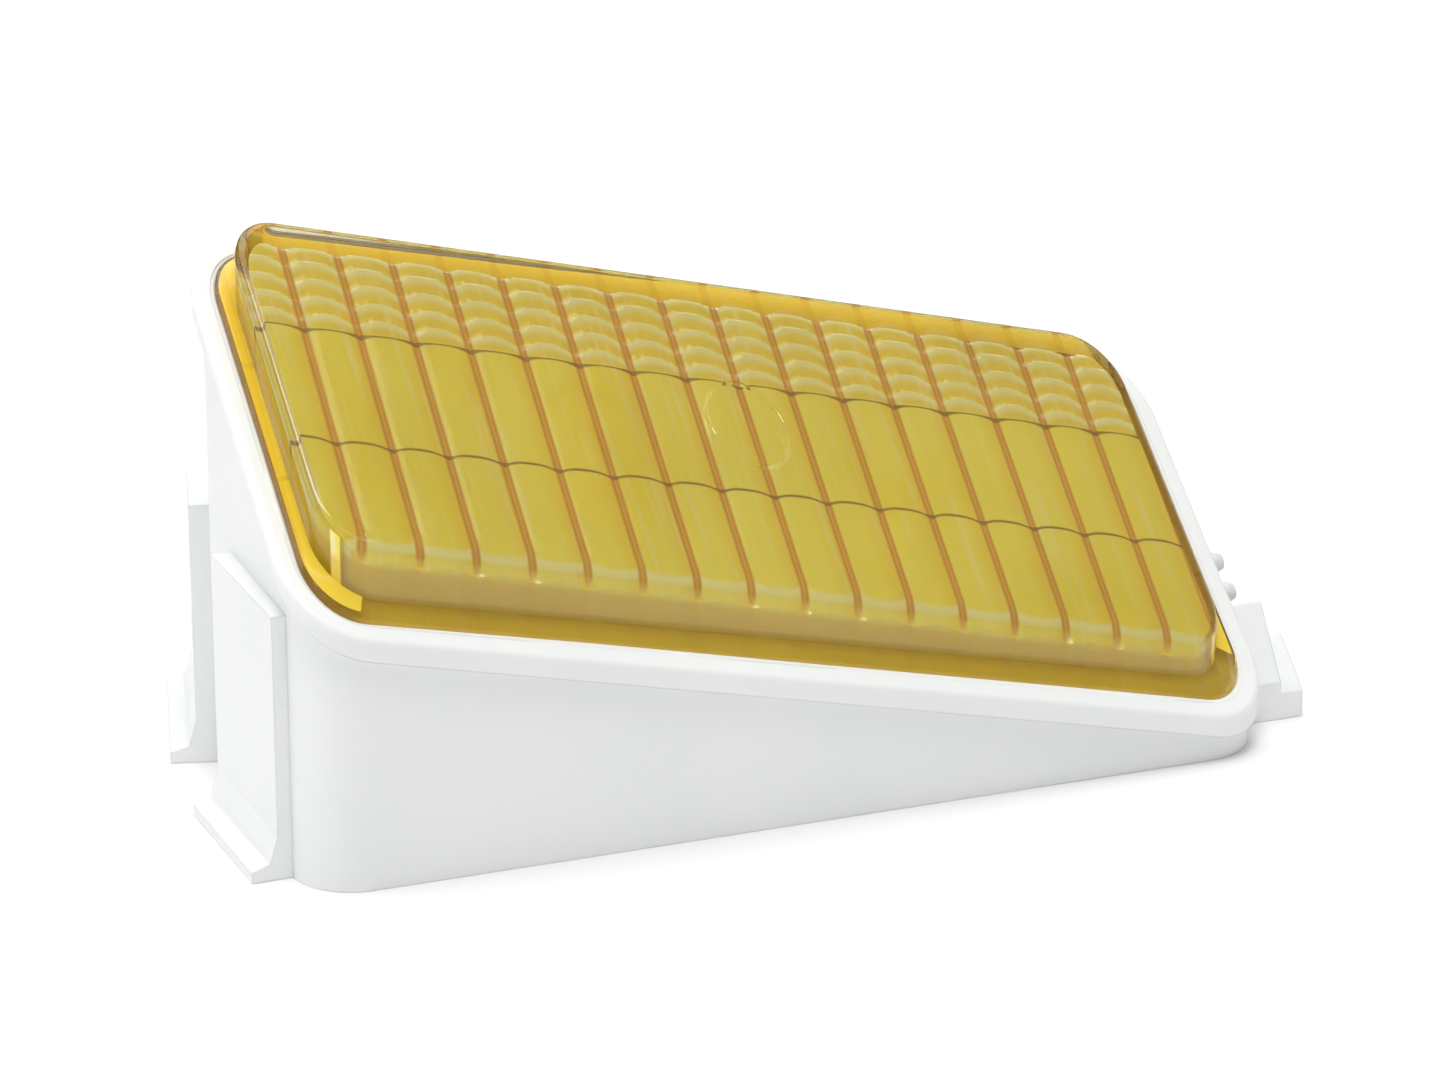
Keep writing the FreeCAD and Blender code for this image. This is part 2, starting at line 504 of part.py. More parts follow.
def make_clip():
    """Wire clip that holds the bulb, its bracket and the bracket's screw."""
    low = size("seat_low") - 1.5 - size("wire") - size("running")
    left, right = size("dish_x") - size("clip_half"), size("dish_x") + size("clip_half")
    near = size("dish_y") - 15
    far = near + size("clip_reach")
    clip = swept("bulb_clip", [FreeCAD.Vector(x, y, low) for x, y in ((left, near), (right, near), (right, far),
                                                                      (left, far))], size("wire"), 2, True)
    hinge = "wire + running"
    plate = block("bracket_plate", "dish_x - 5", "dish_x + 5", "dish_y - 16.6", "dish_y - 12.3", "0.8",
                  "seat_low - 0.8")
    cheeks = [block("bracket_cheek_%d" % i, x, x + " + 1.2", "dish_y - 16.6", "dish_y - 13.2", "3.6",
                    "seat_low - 4.4") for i, x in enumerate(("dish_x - 5", "dish_x + 3.8"))]
    bracket = cut("clip_bracket", join("bracket_solid", plate, *cheeks),
                  rod("bracket_bore", hinge, "20", ("dish_x - 10", near, low), ALONG_X),
                  rod("bracket_screw_hole", "1", "10", ("dish_x", "dish_y - 14.6", "20")))
    screw = join("bracket_rivet", rod("bracket_rivet_shank", "1", "seat_thick + 0.8",
                                      ("dish_x", "dish_y - 14.6", "seat_low - 0.8")),
                 rod("bracket_rivet_head", "1.7", "0.6", ("dish_x", "dish_y - 14.6", "seat_low + seat_thick")))
    return clip, bracket, screw


def make_lead():
    """Short insulated lead from the bulb to its connector, held between the two."""
    height = size("seat_low") - 6
    start = FreeCAD.Vector(size("dish_x"), size("dish_y") - size("bulb_rear"), height)
    corner = start - Y_AXIS * 14
    lead = swept("bulb_lead", [start, corner, corner + X_AXIS * 20], 1.1, 7)
    connector = cut("lead_connector",
                    block("connector_shell", "dish_x + 20", "dish_x + 34", corner.y - 4, corner.y + 4, "8",
                          height - 4 + 1.8, "1"),
                    block("connector_mouth", "dish_x + 27", "dish_x + 36", corner.y - 3, corner.y + 3, "5.2",
                          height - 1.4 + 0.8))
    blade = block("connector_blade", "dish_x + 27", "dish_x + 33", corner.y - 2.4, corner.y + 2.4, "0.8",
                  height + 1.2)
    return lead, connector, blade


def make_cap():
    """Bayonet cap over the bulb port, flush in the back, with its gasket."""
    at = ("dish_x", "dish_y", "0")
    plug = "port - cap_gap"
    shell = turned("cap_shell", [("0", "2.9"), ("18", "2.9"), ("18", "0.5"), ("port + cap_overlap", "0.5"),
                                 ("port + cap_overlap", "1.8"), (plug, "1.8"), (plug, "ring_height + 1.5"),
                                 (plug + " - 1.8", "ring_height + 1.5"), (plug + " - 1.8", "4.4"), ("0", "4.4")], at)
    grip = block("cap_grip", "dish_x - 17.5", "dish_x + 17.5", "dish_y - 2", "dish_y + 2", "2.6", "0.5")
    lugs = []
    for i in range(3):
        bar = block("cap_lug_%d" % i, "port - 3", "port + 3", "-4", "4", "1.2")
        bind(bar, at=("dish_x", "dish_y", "ring_height + 0.3"))
        bar.Placement.Rotation = FreeCAD.Rotation(Z_AXIS, 120 * i)
        lugs.append(bar)
    cap = join("access_cap", shell, grip, *lugs)
    gasket = turned("cap_gasket", [("port + 0.2", "1.8"), ("port + cap_overlap - 0.2", "1.8"),
                                   ("port + cap_overlap - 0.2", "cap_recess - running"),
                                   ("port + 0.2", "cap_recess - running")], at)
    return cap, gasket


def make_trim():
    """Rubber breather caps on the end wall, the grommet of the inlet, and threaded inserts for mounting."""
    caps = []
    for i, (y, z) in enumerate(BREATHERS):
        at = ("rim_width / 2 - lip_overhang + 0.4", y, z)
        caps.append(turned("breather_%d" % i, [("1.4", "0"), ("breather", "0"), ("breather", "4"),
                                               ("breather * 0.7", "5.6"), ("0", "6.2"), ("0", "2.3"),
                                               ("1.4", "2.3")], at, ALONG_X))
    grommet = turned("cable_grommet", [("2.5", "-2"), ("grommet", "-2"), ("grommet", "0"), ("grommet - 1.5", "0"),
                                       ("grommet - 1.5", "wall"), ("grommet", "wall"), ("grommet", "wall + 2"),
                                       ("4", "wall + 6"), ("2.5", "wall + 6")],
                     ("45", "chamber_end - wall", "22"), ALONG_Y)
    inserts = []
    for i, (x, y) in enumerate(FOOT_SCREWS):
        inserts.append(cut("foot_insert_%d" % i, rod("insert_outside_%d" % i, "insert", "9", (x, y, "0")),
                           rod("insert_bore_%d" % i, "screw_hole", "20", (x, y, "-1"))))
    return group("breather_caps", caps), grommet, group("foot_inserts", inserts)


def check(things):
    """Stops if an object failed, or if a piece is empty or not valid."""
    failed = ["%s %s" % (thing.Name, thing.State) for thing in doc.Objects
              if "Invalid" in thing.State or "Error" in thing.State]
    if failed:
        raise RuntimeError("failed: " + ", ".join(failed))
    for thing in things:
        shape = thing.Shape
        if shape.isNull() or not shape.isValid() or not shape.Solids:
            raise RuntimeError("bad shape: " + thing.Name)
        print("%-18s solids %d  volume %9.1f  box %s" % (thing.Name, len(shape.Solids), shape.Volume, [
            round(v, 1) for v in (shape.BoundBox.XMin, shape.BoundBox.XMax, shape.BoundBox.YMin,
                                  shape.BoundBox.YMax, shape.BoundBox.ZMin, shape.BoundBox.ZMax)]))


def main():
    housing = make_housing()
    lens = make_lens()
    pieces = [housing, lens, make_lens_seal(lens), make_reflector(), *make_pivots(), *make_aim(), *make_bulb(),
              *make_shield(), *make_clip(), *make_lead(), *make_cap(), *make_trim()]
    for piece in pieces:
        piece.Label = piece.Name
    doc.recompute()
    check(pieces)
    os.makedirs("parts", exist_ok=True)
    for piece in pieces:
        piece.Shape.exportStep(os.path.join("parts", piece.Label + ".step"))


main()
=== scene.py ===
import logging
import math
from dataclasses import dataclass
from enum import Enum
from typing import Any

import bpy
import numpy as np
from mathutils import Matrix, Vector, noise


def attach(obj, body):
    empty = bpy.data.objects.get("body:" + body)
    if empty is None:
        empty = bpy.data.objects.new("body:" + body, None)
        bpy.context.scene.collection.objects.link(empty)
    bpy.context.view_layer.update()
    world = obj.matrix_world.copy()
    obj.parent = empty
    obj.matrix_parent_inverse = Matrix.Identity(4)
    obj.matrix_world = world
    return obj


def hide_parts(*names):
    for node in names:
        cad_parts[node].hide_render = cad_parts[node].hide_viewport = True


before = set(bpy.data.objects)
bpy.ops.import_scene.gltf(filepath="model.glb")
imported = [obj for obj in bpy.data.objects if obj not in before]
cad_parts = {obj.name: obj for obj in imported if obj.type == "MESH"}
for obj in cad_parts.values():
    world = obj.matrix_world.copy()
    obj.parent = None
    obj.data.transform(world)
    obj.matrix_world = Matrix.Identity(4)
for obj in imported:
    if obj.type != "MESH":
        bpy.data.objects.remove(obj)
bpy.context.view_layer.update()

log = logging.getLogger("fog_lamp")
Colour = tuple[float, float, float]
MM = 0.001


class Wire:
    """A socket's output in a material, which can be used in arithmetic."""

    def __init__(self, board: "Board", socket: Any) -> None:
        """Wraps a socket.

        Args:
            board: The material that the socket is in.
            socket: The output socket.
        """
        self.board = board
        self.socket = socket

    def maths(self, operation: str, *others: Any) -> "Wire":
        """Adds a Math node.

        Args:
            operation: The node's operation.
            others: The other operands, numbers or wires.

        Returns:
            The result.
        """
        values = {i: value for i, value in enumerate((self, *others))}
        return self.board.add("ShaderNodeMath", {"operation": operation}, values)

    def turned(self, operation: str, other: Any) -> "Wire":
        """The same with the operands the other way round."""
        return self.board.add("ShaderNodeMath", {"operation": operation}, {0: other, 1: self})

    def __add__(self, other: Any) -> "Wire":
        """Sum."""
        return self.maths("ADD", other)

    def __radd__(self, other: Any) -> "Wire":
        """Sum, reflected."""
        return self.maths("ADD", other)

    def __sub__(self, other: Any) -> "Wire":
        """Difference."""
        return self.maths("SUBTRACT", other)

    def __rsub__(self, other: Any) -> "Wire":
        """Difference, reflected."""
        return self.turned("SUBTRACT", other)

    def __mul__(self, other: Any) -> "Wire":
        """Product."""
        return self.maths("MULTIPLY", other)

    def __rmul__(self, other: Any) -> "Wire":
        """Product, reflected."""
        return self.maths("MULTIPLY", other)

    def __truediv__(self, other: Any) -> "Wire":
        """Quotient."""
        return self.maths("DIVIDE", other)

    def within(self, low: float, high: float) -> "Wire":
        """A smooth 0 to 1 between two values.

        Args:
            low: The value that gives 0.
            high: The value that gives 1.

        Returns:
            The mask.
        """
        values = {"Value": self, "From Min": low, "From Max": high}
        return self.board.add("ShaderNodeMapRange", {"interpolation_type": "SMOOTHSTEP"}, values)


class Board:
    """A material being wired round one Principled shader."""

    def __init__(self, name: str, **constants: Any) -> None:
        """Starts a material.

        Args:
            name: The material's name.
            constants: Values for the shader's own sockets, with _ for a space.
        """
        self.material = bpy.data.materials.new(name)
        self.material.use_nodes = True
        self.tree = self.material.node_tree
        self.shader = self.tree.nodes["Principled BSDF"]
        for key, value in constants.items():
            self.shader.inputs[key.replace("_", " ")].default_value = value

    def add(self, kind: str, settings: dict[str, Any], values: dict[Any, Any], output: Any = 0) -> Wire:
        """Adds any node: its settings first, then its sockets.

        Args:
            kind: The node's type.
            settings: Attributes, or "stops" for a colour ramp.
            values: Numbers, colours or wires, by socket name or number.
            output: Which output is wanted.

        Returns:
            That output.
        """
        node = self.tree.nodes.new(kind)
        for key, value in settings.items():
            if key == "stops":
                ramp = node.color_ramp
                while len(ramp.elements) < len(value):
                    ramp.elements.new(0.5)
                for element, (place, colour) in zip(ramp.elements, value):
                    element.position = place
                    element.color = (*colour, 1.0)
            else:
                setattr(node, key, value)
        for key, value in values.items():
            if isinstance(value, Wire):
                self.tree.links.new(value.socket, node.inputs[key])
            else:
                node.inputs[key].default_value = value
        return Wire(self, node.outputs[output])

    def feed(self, **wires: Wire) -> None:
        """Links wires to the shader's sockets, with _ for a space."""
        for key, wire in wires.items():
            self.tree.links.new(wire.socket, self.shader.inputs[key.replace("_", " ")])

    def place(self) -> Wire:
        """The object's own coordinates, in metres."""
        return self.add("ShaderNodeTexCoord", {}, {}, "Object")

    def axes(self) -> tuple[Wire, Wire, Wire]:
        """The three coordinates, apart."""
        split = self.add("ShaderNodeSeparateXYZ", {}, {0: self.place()})
        return tuple(Wire(self, socket) for socket in split.socket.node.outputs)

    def grain(self, scale: float, detail: float = 3.0) -> Wire:
        """Noise between 0 and 1.

        Args:
            scale: Its scale, per metre.
            detail: How many finer layers it has.

        Returns:
            The noise.
        """
        values = {"Vector": self.place(), "Scale": scale, "Detail": detail}
        return self.add("ShaderNodeTexNoise", {}, values)

    def tint(self, mask: Wire, first: Colour, second: Colour) -> Wire:
        """Mixes two colours by a mask.

        Args:
            mask: 0 for the first, 1 for the second.
            first: The first colour.
            second: The second colour.

        Returns:
            The mixed colour.
        """
        mixed = {0: mask, 6: (*first, 1.0), 7: (*second, 1.0)}
        return self.add("ShaderNodeMix", {"data_type": "RGBA"}, mixed, 2)

    def blend(self, mask: Wire, under: Wire, over: Colour) -> Wire:
        """Lays a colour over another by a mask.

        Args:
            mask: 1 where the new colour shows.
            under: The colour below.
            over: The new colour.

        Returns:
            The mixed colour.
        """
        mixed = {0: mask, 6: under, 7: (*over, 1.0)}
        return self.add("ShaderNodeMix", {"data_type": "RGBA"}, mixed, 2)

    def bumps(self, height: Wire, depth: float, strength: float = 1.0, under: Wire | None = None) -> Wire:
        """A bumped normal.

        Args:
            height: The relief, 0 to 1.
            depth: How deep a whole unit is, in metres.
            strength: How strongly it shows.
            under: A normal to start from.

        Returns:
            The normal.
        """
        values = {"Height": height, "Distance": depth, "Strength": strength}
        if under is not None:
            values["Normal"] = under
        return self.add("ShaderNodeBump", {}, values)

    def softened(self, radius: float) -> Wire:
        """A normal that rounds hard edges by a radius."""
        return self.add("ShaderNodeBevel", {"samples": 6}, {"Radius": radius})


@dataclass(frozen=True)
class LensPlane:
    """The sloping plane of the lens opening."""

    height: float = 57.4 * MM
    slope_x: float = -0.2363
    slope_y: float = 0.7272

    def lay(self, piece: bpy.types.Object) -> None:
        """Moves a flat piece onto the sloping plane, keeping its upright edges upright."""
        sloping = (self.slope_x, self.slope_y, 1, self.height)
        piece.data.transform(Matrix(((1, 0, 0, 0), (0, 1, 0, 0), sloping, (0, 0, 0, 1))))
        piece.data.update()


@dataclass(frozen=True)
class FlutePattern:
    """Where the face, the ridges, the band steps and the arcs of the pressed inside lie."""

    face_top: float = 10.1 * MM
    face_fall: float = -0.018
    first_ridge: float = -83.1 * MM
    pitch: float = 10.86 * MM
    lean: float = 0.0388
    bands: tuple[float, float] = (-9.2 * MM, 12.0 * MM)
    arc_pitch: float = 3.3 * MM
    arc_bend: float = 1.5 * MM
    end_bow: float = 1.4 * MM


PLANE = LensPlane()
FLUTES = FlutePattern()


@dataclass(frozen=True)
class Moulding:
    """Injection-moulded plastic, with a faint mottle, a fine grain and handling marks."""

    name: str
    light: Colour
    shade: Colour
    roughness: float = 0.38
    edge: float = 0.5 * MM

    def make(self) -> bpy.types.Material:
        """Builds the material."""
        board = Board(self.name, IOR=1.49)
        mottle = board.grain(22.0, 4.0)
        board.feed(Base_Color=board.tint(mottle.within(0.3, 0.75), self.light, self.shade),
                   Roughness=self.roughness + board.grain(140.0) * 0.12,
                   Normal=board.bumps(board.grain(900.0, 2.0), 0.05 * MM, 0.25, board.softened(self.edge)))
        return board.material


@dataclass(frozen=True)
class Glass:
    """Clear or coloured glass with the faint ripple of pressing."""

    name: str
    colour: Colour
    roughness: float = 0.02
    ripple: float = 0.25
    ior: float = 1.5

    def make(self) -> bpy.types.Material:
        """Builds the material."""
        board = Board(self.name, Transmission_Weight=1.0, IOR=self.ior)
        deep = tuple(value * 0.93 for value in self.colour)
        board.feed(Base_Color=board.tint(board.grain(30.0).within(0.35, 0.7), self.colour, deep),
                   Roughness=self.roughness + board.grain(60.0) * 0.02,
                   Normal=board.bumps(board.grain(160.0, 2.0), 0.1 * MM, self.ripple))
        return board.material


@dataclass(frozen=True)
class FlutedGlass:
    """Amber glass with painted shade along its ridges, band steps, one side of each flute and the prism
    band, painted highlights on the flute ends and prism arcs, and deeper amber at its thick edges with
    painted shade on the lower inner walls.
    """

    name: str
    light: Colour = (1.0, 0.87, 0.14)
    deep: Colour = (1.0, 0.82, 0.08)
    # Pale streaks along the flutes, and painted highlights on the flute ends and prism arcs.
    pale_streak_and_highlight: Colour = (1.0, 0.93, 0.45)
    # Painted shade along the flute ridges.
    painted_ridge_shade: Colour = (0.74, 0.34, 0.06)
    # Painted shade, on one side of each flute, over the prism band and on the ridge crests.
    shade: Colour = (0.96, 0.62, 0.06)
    # Painted shade along the band steps.
    painted_step_shade: Colour = (0.36, 0.20, 0.04)
    # Deeper amber at the thick flange and edges, also used as painted shade on the lower inner walls.
    thick_edge_and_shade: Colour = (0.88, 0.60, 0.04)
    clearness: float = 0.05
    end_line: float = -27.4 * MM
    step_half: float = 0.6 * MM

    def make(self) -> bpy.types.Material:
        """Builds the material."""
        board = Board(self.name, Transmission_Weight=self.clearness, IOR=1.5)
        x, y, z = board.axes()
        rise = z - (PLANE.height + PLANE.slope_x * x + PLANE.slope_y * y)
        depth = FLUTES.face_top + FLUTES.face_fall * x - rise
        inner = depth.within(1.6 * MM, 2.1 * MM)
        cell = (x - FLUTES.lean * y - FLUTES.first_ridge) / FLUTES.pitch
        side = cell.maths("FRACT") * 2.0 - 1.0
        phase = side.maths("ABSOLUTE")
        # Mask for the painted shade along the ridges, stopping above the near wall.
        painted_ridge_shade = phase.within(0.80, 0.90) * y.within(-28.2 * MM, -27.0 * MM)
        # Mask for the ridge crests, which get a lighter painted shade.
        core = phase.within(0.94, 0.99)
        bow = FLUTES.end_bow * (1.0 - (1.0 - phase * phase).maths("SQRT"))
        # Mask for the painted highlight round the rounded flute ends.
        painted_end_highlight = 1.0 - (y - self.end_line - bow).maths("ABSOLUTE").within(0.2 * MM, 0.7 * MM)
        wobble = phase.maths("POWER", 3.0) * (0.8 * MM)
        near, far = [(y + wobble - band).maths("ABSOLUTE") for band in FLUTES.bands]
        # Mask for the painted shade along the two band steps.
        painted_step_shade = 1.0 - near.maths("MINIMUM", far).within(self.step_half / 2, self.step_half)
        arcs = ((y + FLUTES.arc_bend * phase * phase - FLUTES.bands[1]) / FLUTES.arc_pitch).maths("FRACT")
        prisms = y.within(12.6 * MM, 13.2 * MM)
        # Mask for the painted highlights along the prism arcs.
        painted_arc_highlight = arcs.within(0.35, 0.85) * prisms
        stretched = board.add("ShaderNodeMapping", {}, {0: board.place(), 3: (1.0, 0.05, 0.05)})
        streak = board.add("ShaderNodeTexNoise", {}, {"Vector": stretched, "Scale": 700.0, "Detail": 3.0})
        # Mask for the thick flange and edges, and for the painted shade low on the inner walls.
        edge = y.maths("ABSOLUTE").within(29.5 * MM, 31.5 * MM).maths(
            "MAXIMUM", x.maths("ABSOLUTE").within(91.0 * MM, 93.0 * MM)).maths(
            "MAXIMUM", depth.within(5.2 * MM, 7.0 * MM))
        body = board.tint(board.grain(26.0).within(0.35, 0.7), self.light, self.deep)
        # Painted shade on one side of each flute.
        body = board.blend(side.within(0.1, 0.9) * inner * 0.45, body, self.shade)
        # Painted shade over the prism band.
        body = board.blend(prisms * inner * 0.4, body, self.shade)
        body = board.blend(streak.within(0.5, 0.75) * inner * 0.45, body, self.pale_streak_and_highlight)
        # Painted highlights on the prism arcs and the flute ends.
        body = board.blend((painted_arc_highlight * 0.9).maths("MAXIMUM", painted_end_highlight * 0.8) * inner, body, self.pale_streak_and_highlight)
        # Painted shade on the ridges, with a lighter painted shade along their crests.
        body = board.blend(painted_ridge_shade * inner * 0.9, body, self.painted_ridge_shade)
        body = board.blend(painted_ridge_shade * core * inner * 0.6, body, self.shade)
        # Painted shade along the band steps.
        body = board.blend(painted_step_shade * inner * 0.9, body, self.painted_step_shade)
        # Deeper amber at the thick edges, with painted shade on the lower inner walls.
        board.feed(Base_Color=board.blend(edge * 0.8, body, self.thick_edge_and_shade),
                   Roughness=0.06 + board.grain(60.0) * 0.06,
                   Normal=board.bumps(board.grain(120.0, 2.0), 0.1 * MM, 0.2))
        return board.material


@dataclass(frozen=True)
class Metal:
    """Metal with fine scuffs; a mirror coat has few of them."""

    name: str
    colour: Colour
    roughness: float = 0.3
    scuff: float = 0.15
    edge: float = 0.2 * MM

    def make(self) -> bpy.types.Material:
        """Builds the material."""
        board = Board(self.name, Metallic=1.0)
        dull = tuple(value * 0.86 for value in self.colour)
        board.feed(Base_Color=board.tint(board.grain(80.0).within(0.4, 0.7), self.colour, dull),
                   Roughness=self.roughness + board.grain(240.0) * self.scuff,
                   Normal=board.bumps(board.grain(500.0), 0.05 * MM, 0.2, board.softened(self.edge)))
        return board.material


@dataclass(frozen=True)
class Rubber:
    """Matt rubber with a dusty bloom."""

    name: str
    colour: Colour
    bloom: Colour

    def make(self) -> bpy.types.Material:
        """Builds the material."""
        board = Board(self.name)
        board.feed(Base_Color=board.tint(board.grain(150.0).within(0.45, 0.8), self.colour, self.bloom),
                   Roughness=0.62 + board.grain(300.0) * 0.2,
                   Normal=board.bumps(board.grain(1400.0), 0.05 * MM, 0.4, board.softened(0.3 * MM)))
        return board.material


class Finish(Enum):
    """Every finish on the lamp."""

    WHITE = Moulding("white_moulding", (0.91, 0.925, 0.91), (0.875, 0.895, 0.885))
    AMBER = Glass("amber_skin", (1.0, 0.97, 0.80), 0.01, 0.2)
    FLUTED = FlutedGlass("fluted_amber")
    CLEAR = Glass("bulb_glass", (0.97, 0.98, 0.99), 0.01, 0.05, 1.46)
    MIRROR = Metal("mirror_coat", (0.94, 0.95, 0.96), 0.3, 0.1)
    STEEL = Metal("zinc_steel", (0.66, 0.67, 0.69), 0.28)
    NICKEL = Metal("nickel_plate", (0.72, 0.70, 0.66), 0.22)
    TUNGSTEN = Metal("tungsten", (0.30, 0.30, 0.32), 0.4)
    BRASS = Metal("brass", (0.78, 0.60, 0.27), 0.3)
    NYLON = Moulding("natural_nylon", (0.84, 0.82, 0.75), (0.78, 0.76, 0.69), 0.45, 0.25 * MM)
    CAP = Moulding("black_moulding", (0.035, 0.035, 0.04), (0.05, 0.05, 0.055), 0.42, 0.4 * MM)
    SEALANT = Rubber("white_sealant", (0.88, 0.88, 0.86), (0.93, 0.93, 0.92))
    RUBBER = Rubber("black_rubber", (0.02, 0.02, 0.022), (0.05, 0.05, 0.05))
    GREY_RUBBER = Rubber("grey_rubber", (0.72, 0.75, 0.76), (0.8, 0.82, 0.82))

    def material(self) -> bpy.types.Material:
        """The finish's material, made once."""
        return bpy.data.materials.get(self.value.name) or self.value.make()


CAD_FINISHES: dict[str, Finish] = {
    "housing": Finish.WHITE, "reflector": Finish.MIRROR, "left_pivot_pin": Finish.STEEL,
    "right_pivot_pin": Finish.STEEL, "pivot_bushes": Finish.NYLON, "adjust_screw": Finish.NYLON,
    "screw_seal": Finish.RUBBER, "screw_clip": Finish.STEEL, "adjust_nut": Finish.NYLON,
    "bulb_base": Finish.NICKEL, "bulb_glass": Finish.CLEAR, "bulb_filament": Finish.TUNGSTEN,
    "bulb_shield": Finish.MIRROR, "shield_rivets": Finish.NICKEL, "bulb_clip": Finish.STEEL,
    "clip_bracket": Finish.STEEL, "bracket_rivet": Finish.NICKEL, "bulb_lead": Finish.RUBBER,
    "lead_connector": Finish.NYLON, "connector_blade": Finish.BRASS, "access_cap": Finish.CAP,
    "cap_gasket": Finish.RUBBER, "breather_caps": Finish.GREY_RUBBER, "cable_grommet": Finish.RUBBER,
    "foot_inserts": Finish.BRASS,
}


class Bench:
    """Modelling steps shared by the pieces."""

    @staticmethod
    def clear() -> None:
        """Leaves object mode with nothing selected."""
        if bpy.context.object and bpy.context.object.mode != "OBJECT":
            bpy.ops.object.mode_set(mode="OBJECT")
        bpy.ops.object.select_all(action="DESELECT")

    @staticmethod
    def pick(piece: bpy.types.Object) -> None:
        """Makes one piece the selected and active one."""
        Bench.clear()
        piece.select_set(True)
        bpy.context.view_layer.objects.active = piece

    @staticmethod
    def edit(piece: bpy.types.Object) -> None:
        """Opens a piece in edit mode with all of it selected."""
        Bench.pick(piece)
        bpy.ops.object.mode_set(mode="EDIT")
        bpy.ops.mesh.select_all(action="SELECT")

    @staticmethod
    def settle(piece: bpy.types.Object) -> None:
        """Puts a piece's place into its mesh, merges doubles and points its faces out."""
        Bench.edit(piece)
        bpy.ops.mesh.remove_doubles(threshold=0.002 * MM)
        bpy.ops.mesh.normals_make_consistent(inside=False)
        bpy.ops.object.mode_set(mode="OBJECT")
        bpy.ops.object.transform_apply(location=True, rotation=True, scale=True)

    @staticmethod
    def modify(piece: bpy.types.Object, kind: str, **settings: Any) -> None:
        """Adds a modifier and applies it.

        Args:
            piece: The piece.
            kind: The modifier's type.
            settings: Its settings.
        """
        Bench.pick(piece)
        modifier = piece.modifiers.new(kind.lower(), kind)
        for key, value in settings.items():
            setattr(modifier, key, value)
        bpy.ops.object.modifier_apply(modifier=modifier.name)

    @staticmethod
    def bevel(piece: bpy.types.Object, width: float, segments: int = 3, angle: float = 40.0) -> None:
        """Rounds the hard edges of a piece.

        Args:
            piece: The piece.
            width: The bevel's width, in metres.
            segments: Its segments.
            angle: The least angle of a hard edge, in degrees.
        """
        Bench.modify(piece, "BEVEL", width=width, segments=segments, limit_method="ANGLE",
                     angle_limit=math.radians(angle), harden_normals=False)

    @staticmethod
    def combine(piece: bpy.types.Object, tool: bpy.types.Object, operation: str = "DIFFERENCE") -> None:
        """Cuts, joins or trims a piece with another, which is used up.

        Args:
            piece: The piece that stays.
            tool: The piece that is used up.
            operation: DIFFERENCE, UNION or INTERSECT.
        """
        Bench.modify(piece, "BOOLEAN", operation=operation, object=tool, solver="EXACT")
        bpy.data.objects.remove(tool, do_unlink=True)

    @staticmethod
    def rounded(name: str, half: tuple[float, float], radius: float, low: float, high: float,
                segments: int = 12) -> bpy.types.Object:
        """A block on a rounded rectangle.

        Args:
            name: Its name.
            half: Half its length and width.
            radius: The radius of its upright edges.
            low: Its bottom.
            high: Its top.
            segments: Segments in a corner.

        Returns:
            The block.
        """
        Bench.clear()
        bpy.ops.mesh.primitive_plane_add(size=2.0, location=(0.0, 0.0, low))
        piece = bpy.context.object
        piece.name = name
        bpy.ops.object.mode_set(mode="EDIT")
        bpy.ops.transform.resize(value=(half[0], half[1], 1.0))
        bpy.ops.mesh.bevel(offset=radius, segments=segments, affect="VERTICES")
        bpy.ops.mesh.extrude_region_move(TRANSFORM_OT_translate={"value": (0.0, 0.0, high - low)})
        Bench.settle(piece)
        return piece

    @staticmethod
    def finish(piece: bpy.types.Object, finish: Finish, body: str, slot: str, *nodes: str,
               smooth: float = 30.0) -> None:
        """Smooths, dresses and mounts a finished piece.

        Args:
            piece: The piece.
            finish: Its finish.
            body: The body it rides on.
            slot: The record's material slot; not used.
            nodes: The CAD nodes that it replaces.
            smooth: The angle under which edges look smooth, in degrees.
        """
        Bench.pick(piece)
        bpy.ops.object.shade_smooth_by_angle(angle=math.radians(smooth))
        piece.data.materials.clear()
        piece.data.materials.append(finish.material())
        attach(piece, body)
        if nodes:
            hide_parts(*nodes)
        log.info("%s: %d faces", piece.name, len(piece.data.polygons))


